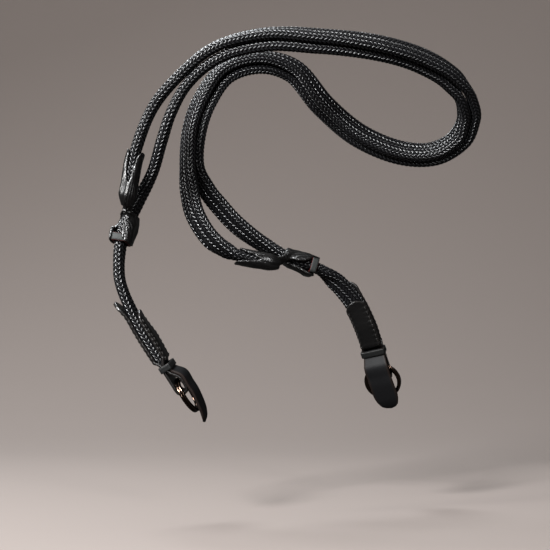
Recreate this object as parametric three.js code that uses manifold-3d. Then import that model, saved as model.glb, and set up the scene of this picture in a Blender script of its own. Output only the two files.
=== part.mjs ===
// A double-rope neck strap, held up in the loops in which it was photographed.
// Two flat braided ropes run side by side. Each starts in a leather tab with a split ring, and ends in a
// leather slider that grips the other rope, so the strap can be made longer or shorter.
// Millimetres, +Z up, +X to the right and +Y away from the viewer. The origin is on the underside of the
// top strand, where a peg or a neck carries the strap.
import * as THREE from "three";
import { mergeVertices } from "three/addons/utils/BufferGeometryUtils.js";
import Module from "manifold-3d";

const wasm = await Module();
wasm.setup();

// Driving dimensions
const CLEARANCE = 0.3; // gap between pieces that touch
const PAIR_GAP = 0.9; // gap between the two ropes where they lie together
const LAY_WIDTH = 198.5; // leftmost to rightmost place of the routes; the whole lay grows with it
const ROPE_WIDTH = 11.5;
const ROPE_THICKNESS = 5.4;
const ROPE_STEPS = 80; // stations along each rope
const LEATHER = 1.6;
const TAB_WIDTH = ROPE_WIDTH + 1.9; // leather strip of the end tabs
const TAB_LONG_PLY = 38; // outer ply, measured up from the rope's end
const TAB_SHORT_PLY = 29;
const TAB_TIP = 5; // length of each ply's narrowing tip
const PLY_BULGE = 1; // how far the short ply stands off the rope at its middle
const TONGUE_LIFT = 3; // how far the long ply's tip stands off the rope
const EYE_LENGTH = 24; // rope's end to the bottom of the fold
const EYE_SHIFT = -2; // the eye hangs this far to the guard's side
const EYE_SLACK = 1; // free play of the ring between the plies
const KEEPER_WIDTH = 3.5;
const KEEPER_THICKNESS = 1.1;
const KEEPER_DROP = 6; // rope's end to the middle of the keeper band
const WAIST_GAP = 1.4; // space between the plies under the keeper
const RING_OUTSIDE = 22;
const RING_WIRE = 2.2; // radial width of the coil
const RING_THICKNESS = 2.8; // both turns of the coil
const RING_DROP = 25.2; // rope's end to the ring's centre
const RING_SEGMENTS = 28;
const GUARD_WIDTH = TAB_WIDTH + 1.2;
const GUARD_LENGTH = 43; // rope's end to the guard's tip
const SLEEVE_WIDTH = ROPE_WIDTH + 1.1; // leather strip of the sliders over the rope's end
const SLEEVE_MOUTH = 0.7; // how far the sleeve's lips stand off the rope
const SLEEVE_NOSE = 5; // closed stretch past the rope's end
const LOBE_WIDTH = ROPE_WIDTH + 1.7; // leather strip of the sliders round the other rope
const CAP_LENGTH = 6.5; // leather that crosses the rope's edges at the neck
const BAND_INSET = 3; // slider band's middle from the lobe's open end
const BAND_SLACK = 0.3; // the slider's band is this loose all round

// Routes, chosen by hand from the photograph. Each row: x, y, z, lean.
// Lean is the turn of the flat faces about the rope: 0 looks sideways across the picture, 90 faces the viewer.
const LEFT_LEAD = [
  [-102, 10, -165.5, 12],
  [-109, 8.5, -154.5, 12],
  [-116.5, 7, -142, 6],
  [-123.5, 4, -124.5, 0],
  [-124.5, 4, -115, 0],
  [-123.5, 5, -102, 6],
  [-121, 7, -92.5, 14],
  [-117.5, 8, -84.5, 14],
  [-113, 7.5, -76, 8],
  [-106, 3, -63, 0],
  [-100.5, -3, -46.5, 0],
  [-95, -7, -31.5, -4],
];
const RIGHT_HEAD = [
  [-119, -5, -77.5, 0],
  [-117.5, -5, -68, 0],
  [-114.5, -5, -52, 0],
  [-105, -6, -28.5, -4],
];
const PAIR = [
  [-88, -8, -13.5, -8],
  [-71, -8, 0.5, -16],
  [-45, -6, 8.5, -24],
  [-14.5, -3, 8.5, -36],
  [19, 4, 6.2, -50],
  [43.5, 13, 1, -52],
  [61, 22, -7.2, -38],
  [71, 31.5, -17, -10],
  [74, 41, -27, 12],
  [69.5, 50, -37.8, 44],
  [56, 57, -45, 60],
  [37, 59, -44.5, 64],
  [11.5, 57, -34.5, 60],
  [-10, 52, -17.5, 56],
  [-28, 46, 2, 42],
  [-48, 40, 6, 30],
  [-67, 36, -1, 28],
  [-79, 33, -18, 34],
  [-84.8, 32, -35, 34],
  [-86.2, 32, -56, 40],
];
const LEFT_TAIL = [
  [-87.5, 31, -70.5, 62],
  [-84.3, 30, -83.8, 66],
  [-75.5, 30, -97.8, 60],
  [-67, 31, -104, 36],
  [-59, 32, -107.5, 6],
  [-41.5, 34, -111, 0],
];
const RIGHT_TAIL = [
  [-78, 37, -69, 52],
  [-70.5, 40, -78.5, 56],
  [-60.5, 43, -89, 54],
  [-46, 47, -99.5, 36],
  [-37, 48, -104.5, 18],
  [-28.5, 48, -109, 4],
  [-12, 50, -114.5, 8],
  [-2, 54, -122, 56],
  [3.8, 57, -128, 66],
  [9, 60, -135, 74],
  [15.5, 65, -148, 72],
  [18.5, 68, -156.5, 70],
];

const SLIDER_1 = { sleeve: 25, lobeAt: 69, lobe: 18 }; // lobeAt: left rope's tab end to the lobe's open end
const SLIDER_2 = { sleeve: 19, lobeAt: 59.5, lobe: 20 }; // lobeAt: right rope's tab end to the lobe's open end

const TOWARD_VIEWER = new THREE.Vector3(0, -1, 0);

const routeX = [...LEFT_LEAD, ...RIGHT_HEAD, ...PAIR, ...LEFT_TAIL, ...RIGHT_TAIL].map(([x]) => x);
const LAY_SCALE = LAY_WIDTH / (Math.max(...routeX) - Math.min(...routeX));

// A row's place at the size of this lay
function place([x, y, z]) {
  return new THREE.Vector3(x, y, z).multiplyScalar(LAY_SCALE);
}

// Unit vectors round a strand: m is square to its flat faces, w runs across its width
function faces(tangent, lean) {
  const side = new THREE.Vector3().crossVectors(TOWARD_VIEWER, tangent).normalize();
  const front = new THREE.Vector3().crossVectors(tangent, side).normalize();
  const turn = THREE.MathUtils.degToRad(lean);
  const m = side.clone().multiplyScalar(Math.cos(turn)).addScaledVector(front, -Math.sin(turn));
  const w = new THREE.Vector3().crossVectors(tangent, m);
  return { m, w };
}

// The two ropes' rows where they lie flat on each other, side +1 for the right rope and -1 for the left
function pairRows(side) {
  const curve = new THREE.CatmullRomCurve3(PAIR.map(place), false, "centripetal");
  return PAIR.map(([, , , lean], row) => {
    const t = row / (PAIR.length - 1);
    const { m } = faces(curve.getTangent(t), lean);
    const point = curve.getPoint(t).addScaledVector(m, (side * (ROPE_THICKNESS + PAIR_GAP)) / 2);
    return [...point.divideScalar(LAY_SCALE).toArray(), lean];
  });
}

// A rope as a curve with its flat faces known all along it
function makeRope(rows) {
  const curve = new THREE.CatmullRomCurve3(rows.map(place), false, "centripetal");
  curve.arcLengthDivisions = 40 * rows.length;
  const length = curve.getLength();
  const leanAt = (t) => {
    const at = t * (rows.length - 1);
    const row = Math.min(Math.floor(at), rows.length - 2);
    return THREE.MathUtils.lerp(rows[row][3], rows[row + 1][3], THREE.MathUtils.smoothstep(at - row, 0, 1));
  };
  // The frame a distance along the rope, going straight on past both ends
  const frame = (distance) => {
    const inside = THREE.MathUtils.clamp(distance, 0, length);
    const t = curve.getUtoTmapping(inside / length);
    const tangent = curve.getTangent(t);
    const origin = curve.getPoint(t).addScaledVector(tangent, distance - inside);
    return { origin, tangent, ...faces(tangent, leanAt(t)) };
  };
  return { length, frame };
}

// A point beside the rope: p along its thickness, q along its width
function beside(frame, p, q) {
  return frame.origin.clone().addScaledVector(frame.m, p).addScaledVector(frame.w, q);
}

// A closed solid through rings of points; a loop joins its last ring to its first
function loft(rings, isLoop = false) {
  const sides = rings[0].length;
  const positions = rings.flat().flatMap((point) => point.toArray());
  const index = [];
  const spans = isLoop ? rings.length : rings.length - 1;
  for (let ring = 0; ring < spans; ring++) {
    const here = ring * sides;
    const next = ((ring + 1) % rings.length) * sides;
    for (let k = 0; k < sides; k++) {
      const l = (k + 1) % sides;
      index.push(here + k, here + l, next + k, here + l, next + l, next + k);
    }
  }
  if (!isLoop) {
    const last = (rings.length - 1) * sides;
    for (let k = 1; k < sides - 1; k++) {
      index.push(0, k + 1, k);
      index.push(last, last + k, last + k + 1);
    }
  }
  return outward(positions, index);
}

// Turns the faces out where the points ran the other way round
function outward(positions, index) {
  const point = (k) => new THREE.Vector3().fromArray(positions, 3 * k);
  let volume = 0;
  for (let k = 0; k < index.length; k += 3) {
    volume += point(index[k]).dot(point(index[k + 1]).cross(point(index[k + 2])));
  }
  if (volume < 0) {
    for (let k = 0; k < index.length; k += 3) [index[k], index[k + 1]] = [index[k + 1], index[k]];
  }
  const geometry = new THREE.BufferGeometry();
  geometry.setAttribute("position", new THREE.Float32BufferAttribute(positions, 3));
  geometry.setIndex(index);
  geometry.computeVertexNormals();
  return geometry;
}

// Corners of a rectangle beside a frame, centred on p and q
function rectangle(frame, p, q, halfP, halfQ) {
  return [
    beside(frame, p - halfP, q - halfQ),
    beside(frame, p + halfP, q - halfQ),
    beside(frame, p + halfP, q + halfQ),
    beside(frame, p - halfP, q + halfQ),
  ];
}

function toManifold(geometry) {
  const plain = geometry.clone();
  plain.deleteAttribute("normal");
  const merged = mergeVertices(plain, 1e-4);
  const mesh = new wasm.Mesh({
    numProp: 3,
    vertProperties: new Float32Array(merged.attributes.position.array),
    triVerts: new Uint32Array(merged.index.array),
  });
  mesh.merge();
  return new wasm.Manifold(mesh);
}

// Pieces of leather glued or folded into one solid
function join(geometries) {
  const whole = geometries.map(toManifold).reduce((sum, next) => sum.add(next));
  const mesh = whole.getMesh();
  const geometry = new THREE.BufferGeometry();
  geometry.setAttribute("position", new THREE.Float32BufferAttribute(mesh.vertProperties, 3));
  geometry.setIndex(new THREE.Uint32BufferAttribute(mesh.triVerts, 1));
  geometry.computeVertexNormals();
  return geometry;
}

// Flat rope: two half-round edges joined by flat faces, 12 points round
function ropeSolid(rope) {
  const edge = ROPE_THICKNESS / 2;
  const flat = ROPE_WIDTH / 2 - edge;
  const section = [];
  for (const end of [1, -1]) {
    for (let degrees = -75; degrees <= 75; degrees += 30) {
      const angle = THREE.MathUtils.degToRad(degrees);
      section.push([end * edge * Math.sin(angle), end * (flat + edge * Math.cos(angle))]);
    }
  }
  const rings = [];
  for (let step = 0; step <= ROPE_STEPS; step++) {
    const frame = rope.frame((rope.length * step) / ROPE_STEPS);
    rings.push(section.map(([p, q]) => beside(frame, p, q)));
  }
  return loft(rings);
}

// A rope's end, with distances measured outward from it: below 0 is over the rope
function endOf(rope, atStart) {
  return (outward) => {
    const frame = rope.frame(atStart ? -outward : rope.length + outward);
    const out = frame.tangent.clone().multiplyScalar(atStart ? -1 : 1);
    return { ...frame, out };
  };
}

// Moves each point of a line of rows (outward, p, ...) square to the line, keeping the distance at its corners
function shiftRows(rows, distance) {
  const line = rows.map(([outward, p]) => new THREE.Vector2(outward, p));
  return rows.map(([outward, p, ...rest], row) => {
    const before = line[row].clone().sub(line[Math.max(row - 1, 0)]).normalize();
    const after = line[Math.min(row + 1, rows.length - 1)].clone().sub(line[row]).normalize();
    if (row === 0) before.copy(after);
    if (row === rows.length - 1) after.copy(before);
    const along = before.clone().add(after).normalize();
    const reach = distance / Math.max(along.dot(before), 0.5);
    return [outward - along.y * reach, p + along.x * reach, ...rest];
  });
}

// A leather strip bent along a line of rows (outward, p, halfWidth), its thickness square to that line
function strip(end, rows, thickness) {
  const inner = shiftRows(rows, -thickness / 2);
  const outer = shiftRows(rows, thickness / 2);
  return loft(rows.map((_, row) => [[inner, -1], [outer, -1], [outer, 1], [inner, 1]].map(([face, edge]) => {
    const [outward, p, halfWidth] = face[row];
    return beside(end(outward), p, edge * halfWidth);
  })));
}

// Half the distance between the middles of two plies that hold a rope
const PLY = ROPE_THICKNESS / 2 + CLEARANCE + LEATHER / 2;
// The same where the plies close under the keeper, and where they open round the ring
const WAIST = WAIST_GAP / 2 + LEATHER / 2;
const EYE = RING_THICKNESS / 2 + CLEARANCE + EYE_SLACK / 2 + LEATHER / 2;
// The same in a slider's lobe, which also holds the band round the rope
const LOBE_PLY = ROPE_THICKNESS / 2 + BAND_SLACK + KEEPER_THICKNESS + 2 * CLEARANCE + LEATHER / 2;
const GUARD_STEP = LEATHER + CLEARANCE;
const KEEPER_TOP = KEEPER_DROP - KEEPER_WIDTH / 2 - LEATHER / 2;
const KEEPER_FOOT = KEEPER_DROP + KEEPER_WIDTH / 2 + LEATHER / 2;

// The tab's short ply from the keeper down to the fold, which the guard follows
function eyeSide(halfWidth) {
  return [
    [KEEPER_TOP, -WAIST, halfWidth],
    [KEEPER_FOOT, -WAIST, halfWidth],
    [EYE_LENGTH * 0.6, EYE_SHIFT - EYE, halfWidth],
    [EYE_LENGTH - EYE - LEATHER / 2, EYE_SHIFT - EYE, halfWidth],
  ];
}

// End tab: one strip that covers the rope, closes under the keeper and turns back round the ring
function tabSolid(end) {
  const half = TAB_WIDTH / 2;
  const tip = half / 2;
  const rows = [
    [-TAB_LONG_PLY, PLY + TONGUE_LIFT, tip],
    [TAB_TIP - TAB_LONG_PLY, PLY + TONGUE_LIFT / 3, half],
    [2 * TAB_TIP - TAB_LONG_PLY, PLY, half],
  ];
  for (const share of [0.5, 0.25]) rows.push([-TAB_LONG_PLY * share, PLY, half]);
  rows.push([LEATHER / 2, PLY, half]);
  rows.push([KEEPER_TOP, WAIST, half]);
  rows.push([KEEPER_FOOT, WAIST, half]);
  rows.push([EYE_LENGTH * 0.6, EYE_SHIFT + EYE, half]);
  for (let degrees = 0; degrees < 180; degrees += 30) {
    const angle = THREE.MathUtils.degToRad(degrees);
    const fold = EYE_LENGTH - LEATHER / 2 - EYE;
    rows.push([fold + EYE * Math.sin(angle), EYE_SHIFT + EYE * Math.cos(angle), half]);
  }
  rows.push(...eyeSide(half).reverse());
  rows.push([LEATHER / 2, -PLY, half]);
  for (const [share, bulge] of [[0.2, 0.8], [0.4, 1], [0.6, 0.5]]) {
    rows.push([-TAB_SHORT_PLY * share, -PLY - PLY_BULGE * bulge, half]);
  }
  rows.push([TAB_TIP - TAB_SHORT_PLY, -PLY, half]);
  rows.push([-TAB_SHORT_PLY, -PLY, tip]);
  return strip(end, rows, LEATHER);
}

// Guard: a leather tongue outside the tab's short ply, which keeps the ring off the camera
function guardSolid(end) {
  const half = GUARD_WIDTH / 2;
  const pastRing = EYE_SHIFT - RING_THICKNESS / 2 - CLEARANCE - LEATHER / 2;
  const ringEnd = RING_DROP + RING_OUTSIDE / 2;
  const beyond = EYE_SHIFT - EYE - GUARD_STEP;
  const rows = shiftRows(eyeSide(half), -GUARD_STEP);
  rows[0][0] = KEEPER_DROP - KEEPER_WIDTH / 2;
  rows[0][2] = TAB_WIDTH / 2;
  rows[1][2] = TAB_WIDTH / 2;
  rows.push([EYE_LENGTH + LEATHER, beyond, half]);
  rows.push([ringEnd - RING_OUTSIDE / 8, pastRing - 1, half]);
  rows.push([ringEnd + LEATHER, pastRing, half * 0.86]);
  rows.push([GUARD_LENGTH - LEATHER, pastRing + LEATHER, half * 0.62]);
  rows.push([GUARD_LENGTH, pastRing + 2 * LEATHER, half * 0.34]);
  return strip(end, rows, LEATHER);
}

// A band round a rectangle with round corners; from and to are its inside edges across the thickness
function bandSolid(end, middle, from, to, halfWidth) {
  const corner = CLEARANCE;
  const rings = [];
  for (const [sideP, sideQ, start] of [[1, 1, 0], [-1, 1, 90], [-1, -1, 180], [1, -1, 270]]) {
    for (const step of [0, 30, 60, 90]) {
      const turn = THREE.MathUtils.degToRad(start + step);
      rings.push([[-1, 0], [1, 0], [1, 1], [-1, 1]].map(([along, out]) => {
        const radius = corner + out * KEEPER_THICKNESS;
        const p = (from + to) / 2 + sideP * ((to - from) / 2 - corner) + radius * Math.cos(turn);
        const q = sideQ * (halfWidth - corner) + radius * Math.sin(turn);
        return beside(end(middle + (along * KEEPER_WIDTH) / 2), p, q);
      }));
    }
  }
  return loft(rings, true);
}

// Split ring: two turns of flat coil, closed up into one ring
function ringSolid(end) {
  const centre = end(RING_DROP);
  const radius = RING_OUTSIDE / 2 - RING_WIRE / 2;
  const bevel = RING_WIRE / 4;
  const halfR = RING_WIRE / 2;
  const halfM = RING_THICKNESS / 2;
  const section = [
    [halfR, halfM - bevel], [halfR - bevel, halfM], [bevel - halfR, halfM], [-halfR, halfM - bevel],
    [-halfR, bevel - halfM], [bevel - halfR, -halfM], [halfR - bevel, -halfM], [halfR, bevel - halfM],
  ];
  const rings = [];
  for (let segment = 0; segment < RING_SEGMENTS; segment++) {
    const angle = (2 * Math.PI * segment) / RING_SEGMENTS;
    const spoke = centre.out.clone().multiplyScalar(Math.cos(angle)).addScaledVector(centre.w, Math.sin(angle));
    rings.push(section.map(([r, p]) => beside(centre, EYE_SHIFT + p, 0).addScaledVector(spoke, radius + r)));
  }
  return loft(rings, true);
}

const SLEEVE_STATIONS = [0.75, 0.62, 0.49, 0.36, 0.23, 0.1]; // shares of the sleeve's length
const LOBE_STATIONS = [0, 0.1, 0.22, 0.34, 0.46, 0.6, 0.72, 0.86, 1]; // shares of the lobe's length

// Slider: two plies over a rope's end, a pinched neck, and two plies round the other rope.
// Host is the other rope's frame, measured from the lobe's open end towards the neck.
function sliderSolid(end, host, { sleeve, lobe }) {
  const parts = [];
  const sleeveHalf = SLEEVE_WIDTH / 2;
  const lobeHalf = LOBE_WIDTH / 2;
  const pinch = LEATHER * 0.45;
  for (const side of [1, -1]) {
    const rows = [
      [-sleeve, side * (PLY + SLEEVE_MOUTH), sleeveHalf * 0.8],
      [LEATHER * 2 - sleeve, side * (PLY + SLEEVE_MOUTH / 2), sleeveHalf],
    ];
    for (const share of SLEEVE_STATIONS) rows.push([-sleeve * share, side * PLY, sleeveHalf]);
    rows.push([LEATHER / 2, side * PLY, sleeveHalf]);
    rows.push([SLEEVE_NOSE * 0.8, side * pinch, sleeveHalf * 0.8]);
    rows.push([SLEEVE_NOSE, side * pinch, sleeveHalf * 0.6]);
    parts.push(strip(end, rows, LEATHER));
    parts.push(loft(LOBE_STATIONS.map((share) => {
      const flare = share === 0 ? CLEARANCE : 0;
      return rectangle(host(lobe * share), side * (LOBE_PLY + flare), 0, LEATHER / 2, lobeHalf - flare * 3);
    })));
  }
  const outside = LOBE_PLY + LEATHER / 2;
  const edge = ROPE_WIDTH / 2 + BAND_SLACK + CLEARANCE + LEATHER / 2;
  for (const [front, from, to] of [[1, -outside, LEATHER / 2], [-1, -outside, outside]]) {
    parts.push(loft([1, 0.66, 0.33, 0].map((share) =>
      rectangle(host(lobe - CAP_LENGTH * share), (from + to) / 2, front * edge, (to - from) / 2, LEATHER / 2))));
  }
  const top = rectangle(end(SLEEVE_NOSE * 0.8), 0, 0, LEATHER * 0.9, sleeveHalf * 0.6);
  const foot = rectangle(host(lobe - CAP_LENGTH / 2), -outside / 2, edge, outside * 0.45, LEATHER * 0.49);
  parts.push(loft([0, 0.2, 0.4, 0.6, 0.8, 1].map((share) =>
    top.map((corner, k) => corner.clone().lerp(foot[k], share)))));
  return join(parts);
}

const leftRope = makeRope([...LEFT_LEAD, ...pairRows(-1), ...LEFT_TAIL]);
const rightRope = makeRope([...RIGHT_HEAD, ...pairRows(1), ...RIGHT_TAIL]);
const leftEnd = endOf(leftRope, true);
const rightEnd = endOf(rightRope, false);

const braid = new THREE.MeshStandardMaterial({ color: 0x16161a, roughness: 0.55, metalness: 0 });
const leather = new THREE.MeshStandardMaterial({ color: 0x1c1a19, roughness: 0.4, metalness: 0 });
const bandLeather = new THREE.MeshStandardMaterial({ color: 0x55585a, roughness: 0.5, metalness: 0 });
const steel = new THREE.MeshStandardMaterial({ color: 0x2a2522, roughness: 0.25, metalness: 1 });

const strap = new THREE.Group();

function add(name, geometry, material) {
  const mesh = new THREE.Mesh(geometry, material);
  mesh.name = name;
  strap.add(mesh);
}

add("rope_left", ropeSolid(leftRope), braid);
add("rope_right", ropeSolid(rightRope), braid);

for (const [side, end] of [["left", leftEnd], ["right", rightEnd]]) {
  const inside = WAIST + LEATHER / 2 + CLEARANCE;
  add(`${side}_tab`, tabSolid(end), leather);
  add(`${side}_guard`, guardSolid(end), leather);
  add(`${side}_ring`, ringSolid(end), steel);
  add(`${side}_keeper`, bandSolid(end, KEEPER_DROP, -inside - GUARD_STEP, inside, TAB_WIDTH / 2 + CLEARANCE), bandLeather);
}

const sliders = [
  ["slider_1", endOf(rightRope, true), SLIDER_1, (outward) => leftRope.frame(SLIDER_1.lobeAt + outward)],
  ["slider_2", endOf(leftRope, false), SLIDER_2, (outward) => rightRope.frame(rightRope.length - SLIDER_2.lobeAt - outward)],
];
for (const [name, end, sizes, host] of sliders) {
  const inside = ROPE_THICKNESS / 2 + CLEARANCE + BAND_SLACK;
  add(name, sliderSolid(end, host, sizes), leather);
  add(`${name}_keeper`, bandSolid(host, BAND_INSET, -inside, inside, ROPE_WIDTH / 2 + CLEARANCE + BAND_SLACK), bandLeather);
}

export default strap;
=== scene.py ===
# %% [markdown]
# A neck strap of two flat braided ropes, with leather ends, sliders and split rings.
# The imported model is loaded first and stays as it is. Its solids are plain, so each soft piece here is a new
# mesh that takes the place of one solid and keeps its route and size. Blender counts in metres.

import math

import bmesh
import bpy
import numpy as np
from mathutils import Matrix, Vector, kdtree, noise


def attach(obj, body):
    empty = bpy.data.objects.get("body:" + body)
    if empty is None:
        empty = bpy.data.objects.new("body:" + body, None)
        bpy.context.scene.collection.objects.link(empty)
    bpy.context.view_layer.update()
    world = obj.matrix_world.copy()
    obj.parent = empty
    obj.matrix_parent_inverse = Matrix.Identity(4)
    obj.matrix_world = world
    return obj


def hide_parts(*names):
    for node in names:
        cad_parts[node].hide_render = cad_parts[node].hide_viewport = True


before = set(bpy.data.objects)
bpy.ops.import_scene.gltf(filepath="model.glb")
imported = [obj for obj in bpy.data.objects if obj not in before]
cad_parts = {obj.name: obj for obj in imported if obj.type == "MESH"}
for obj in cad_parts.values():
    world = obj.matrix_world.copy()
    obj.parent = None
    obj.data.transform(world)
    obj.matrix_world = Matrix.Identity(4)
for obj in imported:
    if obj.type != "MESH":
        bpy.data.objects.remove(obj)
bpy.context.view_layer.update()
MM = 0.001

# %% [markdown]
# The camera comes before the making, because the ropes are measured against its view. It stands where the
# photographer stood: a little below the loops, looking slightly up through a long lens, so that near and far
# strands keep almost the same scale. A wide lens close by would make the front strands too thick.

# %% Camera
EYE = (-38.6 * MM, -738 * MM, -161.5 * MM)
PITCH = math.radians(93.2)
LENS = 88.43
SENSOR = 36
lens_data = bpy.data.cameras.new("camera")
lens_data.lens = LENS
lens_data.sensor_width = SENSOR
camera = bpy.data.objects.new("camera", lens_data)
camera.location = EYE
camera.rotation_euler = (PITCH, 0, 0)
bpy.context.collection.objects.link(camera)
bpy.context.scene.camera = camera

# %% [markdown]
# A rope is laid along a few places, and a smooth curve runs through them. Each row gives the place and
# the lean, which is how far the flat faces are turned about the rope. Where the two ropes lie on each other they
# share one list, and each is moved half a rope off the line between them. Centripetal Catmull-Rom curves are
# used because they never overshoot or knot between uneven points, as plain splines can.

# %% Routes of the two ropes, in millimetres and degrees: x, y, z, lean
ROPE_WIDTH = 11.5 * MM
ROPE_THICKNESS = 5.4 * MM
PAIR_GAP = 0.9 * MM
SAMPLES_PER_ROW = 120
LEFT_LEAD = [
    (-102, 10, -165.5, 12),
    (-109, 8.5, -154.5, 12),
    (-116.5, 7, -142, 6),
    (-123.5, 4, -124.5, 0),
    (-124.5, 4, -115, 0),
    (-123.5, 5, -102, 6),
    (-121, 7, -92.5, 14),
    (-117.5, 8, -84.5, 14),
    (-113, 7.5, -76, 8),
    (-106, 3, -63, 0),
    (-100.5, -3, -46.5, 0),
    (-95, -7, -31.5, -4),
]
RIGHT_HEAD = [
    (-119, -5, -77.5, 0),
    (-117.5, -5, -68, 0),
    (-114.5, -5, -52, 0),
    (-105, -6, -28.5, -4),
]
PAIR = [
    (-88, -8, -13.5, -8),
    (-71, -8, 0.5, -16),
    (-45, -6, 8.5, -24),
    (-14.5, -3, 8.5, -36),
    (19, 4, 6.2, -50),
    (43.5, 13, 1, -52),
    (61, 22, -7.2, -38),
    (71, 31.5, -17, -10),
    (74, 41, -27, 12),
    (69.5, 50, -37.8, 44),
    (56, 57, -45, 60),
    (37, 59, -44.5, 64),
    (11.5, 57, -34.5, 60),
    (-10, 52, -17.5, 56),
    (-28, 46, 2, 42),
    (-48, 40, 6, 30),
    (-67, 36, -1, 28),
    (-79, 33, -18, 34),
    (-84.8, 32, -35, 34),
    (-86.2, 32, -56, 40),
]
LEFT_TAIL = [
    (-87.5, 31, -70.5, 62),
    (-84.3, 30, -83.8, 66),
    (-75.5, 30, -97.8, 60),
    (-67, 31, -104, 36),
    (-59, 32, -107.5, 6),
    (-41.5, 34, -111, 0),
]
RIGHT_TAIL = [
    (-78, 37, -69, 52),
    (-70.5, 40, -78.5, 56),
    (-60.5, 43, -89, 54),
    (-46, 47, -99.5, 36),
    (-37, 48, -104.5, 18),
    (-28.5, 48, -109, 4),
    (-12, 50, -114.5, 8),
    (-2, 54, -122, 56),
    (3.8, 57, -128, 66),
    (9, 60, -135, 74),
    (15.5, 65, -148, 72),
    (18.5, 68, -156.5, 70),
]


def unit(vectors):
    return vectors / np.linalg.norm(vectors, axis=-1, keepdims=True)


def curve_points(points, shares):
    """Places on a centripetal Catmull-Rom curve, for shares from 0 to 1 of its rows."""
    points = np.array(points, float)
    padded = np.vstack([2 * points[0] - points[1], points, 2 * points[-1] - points[-2]])
    at = np.clip(np.asarray(shares, float) * (len(points) - 1), 0, len(points) - 1)
    row = np.minimum(at.astype(int), len(points) - 2)
    weight = (at - row)[:, None]
    before, start, end, after = (padded[row + step] for step in range(4))

    def root(a, b):
        return np.linalg.norm(b - a, axis=1, keepdims=True) ** 0.5

    d0, d1, d2 = root(before, start), root(start, end), root(end, after)
    leave = ((start - before) / d0 - (end - before) / (d0 + d1) + (end - start) / d1) * d1
    arrive = ((end - start) / d1 - (after - start) / (d1 + d2) + (after - end) / d2) * d1
    cubic = 2 * start - 2 * end + leave + arrive
    square = 3 * end - 3 * start - 2 * leave - arrive
    return ((cubic * weight + square) * weight + leave) * weight + start


def faces(tangent, lean):
    """Unit vectors round a strand: m is square to its flat faces, w runs across its width."""
    side = unit(np.cross((0, -1, 0), tangent))
    front = unit(np.cross(tangent, side))
    turn = np.radians(lean)[:, None]
    m = side * np.cos(turn) - front * np.sin(turn)
    return m, np.cross(tangent, m)


def pair_rows(side):
    route = [row[:3] for row in PAIR]
    shares = np.linspace(0, 1, len(PAIR))
    nudge = 1e-4
    ahead = curve_points(route, np.minimum(shares + nudge, 1))
    behind = curve_points(route, np.maximum(shares - nudge, 0))
    lean = np.array([row[3] for row in PAIR], float)
    m, _ = faces(unit(ahead - behind), lean)
    moved = curve_points(route, shares) + m * side * (ROPE_THICKNESS + PAIR_GAP) / 2 / MM
    return [(*place, turn) for place, turn in zip(moved, lean)]


def make_rope(rows):
    """The rope as dense samples: distance along it, place, direction, m and w."""
    shares = np.linspace(0, 1, SAMPLES_PER_ROW * len(rows))
    places = curve_points([row[:3] for row in rows], shares) * MM
    tangent = unit(np.gradient(places, axis=0))
    lean = np.array([row[3] for row in rows], float)
    at = shares * (len(rows) - 1)
    row = np.minimum(at.astype(int), len(rows) - 2)
    blend = at - row
    blend = blend * blend * (3 - 2 * blend)
    m, w = faces(tangent, lean[row] * (1 - blend) + lean[row + 1] * blend)
    steps = np.linalg.norm(np.diff(places, axis=0), axis=1)
    along = np.concatenate([[0], np.cumsum(steps)])
    return {"along": along, "length": along[-1], "place": places, "tangent": tangent, "m": m, "w": w}


def rope_frame(rope, distance):
    """Origin, direction, m and w at distances along a rope, going straight on past both ends."""
    distance = np.atleast_1d(np.asarray(distance, float))
    inside = np.clip(distance, 0, rope["length"])

    def read(name):
        return np.stack([np.interp(inside, rope["along"], rope[name][:, k]) for k in range(3)], axis=1)

    tangent = unit(read("tangent"))
    origin = read("place") + tangent * (distance - inside)[:, None]
    return origin, tangent, unit(read("m")), unit(read("w"))


left_rope = make_rope(LEFT_LEAD + pair_rows(-1) + LEFT_TAIL)
right_rope = make_rope(RIGHT_HEAD + pair_rows(1) + RIGHT_TAIL)
print("rope lengths in mm", round(left_rope["length"] / MM), round(right_rope["length"] / MM))

# %% [markdown]
# Every mesh here is a loft: rings of points joined by faces. One helper turns rings into an object, closes both
# ends or joins the last ring to the first, and leaves the faces pointing out. Working with whole arrays instead
# of single vertices keeps a braid of a hundred thousand faces quick to make.

# %% Helpers for meshes
def mesh_object(name, vertices, quads, node=None):
    mesh = bpy.data.meshes.new(name)
    mesh.from_pydata([tuple(v) for v in np.asarray(vertices, float)], [], quads)
    work = bmesh.new()
    work.from_mesh(mesh)
    bmesh.ops.recalc_face_normals(work, faces=work.faces)
    work.to_mesh(mesh)
    work.free()
    mesh.polygons.foreach_set("use_smooth", [True] * len(mesh.polygons))
    made = bpy.data.objects.new(name, mesh)
    bpy.context.collection.objects.link(made)
    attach(made, "root")
    if node:
        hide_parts(node)
    return made


def loft_faces(rings, sides, is_loop=False, first=0):
    """Faces through rings of points; first is the number of the first point."""
    quads = []
    for ring in range(rings if is_loop else rings - 1):
        here = first + ring * sides
        after = first + ((ring + 1) % rings) * sides
        for k in range(sides):
            step = (k + 1) % sides
            quads.append((here + k, here + step, after + step, after + k))
    if not is_loop:
        last = first + (rings - 1) * sides
        quads.append(tuple(range(first + sides - 1, first - 1, -1)))
        quads.append(tuple(range(last, last + sides)))
    return quads


def set_attribute(made, name, values):
    layer = made.data.attributes.new(name, "FLOAT", "POINT")
    layer.data.foreach_set("value", np.asarray(values, np.float32))


# %% [markdown]
# The ropes are tubular braids pressed flat. On the real thing bundles of nylon thread run round the tube both
# ways and show as slanting floats in columns: neighbouring columns slant against each other, which draws a row
# of V shapes along each edge. A bump map alone would leave a smooth outline, so the floats are real relief.
# The rows of vertices zigzag with the slant, and every second column starts half a float later, as in a
# herringbone. Six rows to a float and four points to a column are enough for a round, shaded float.

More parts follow.
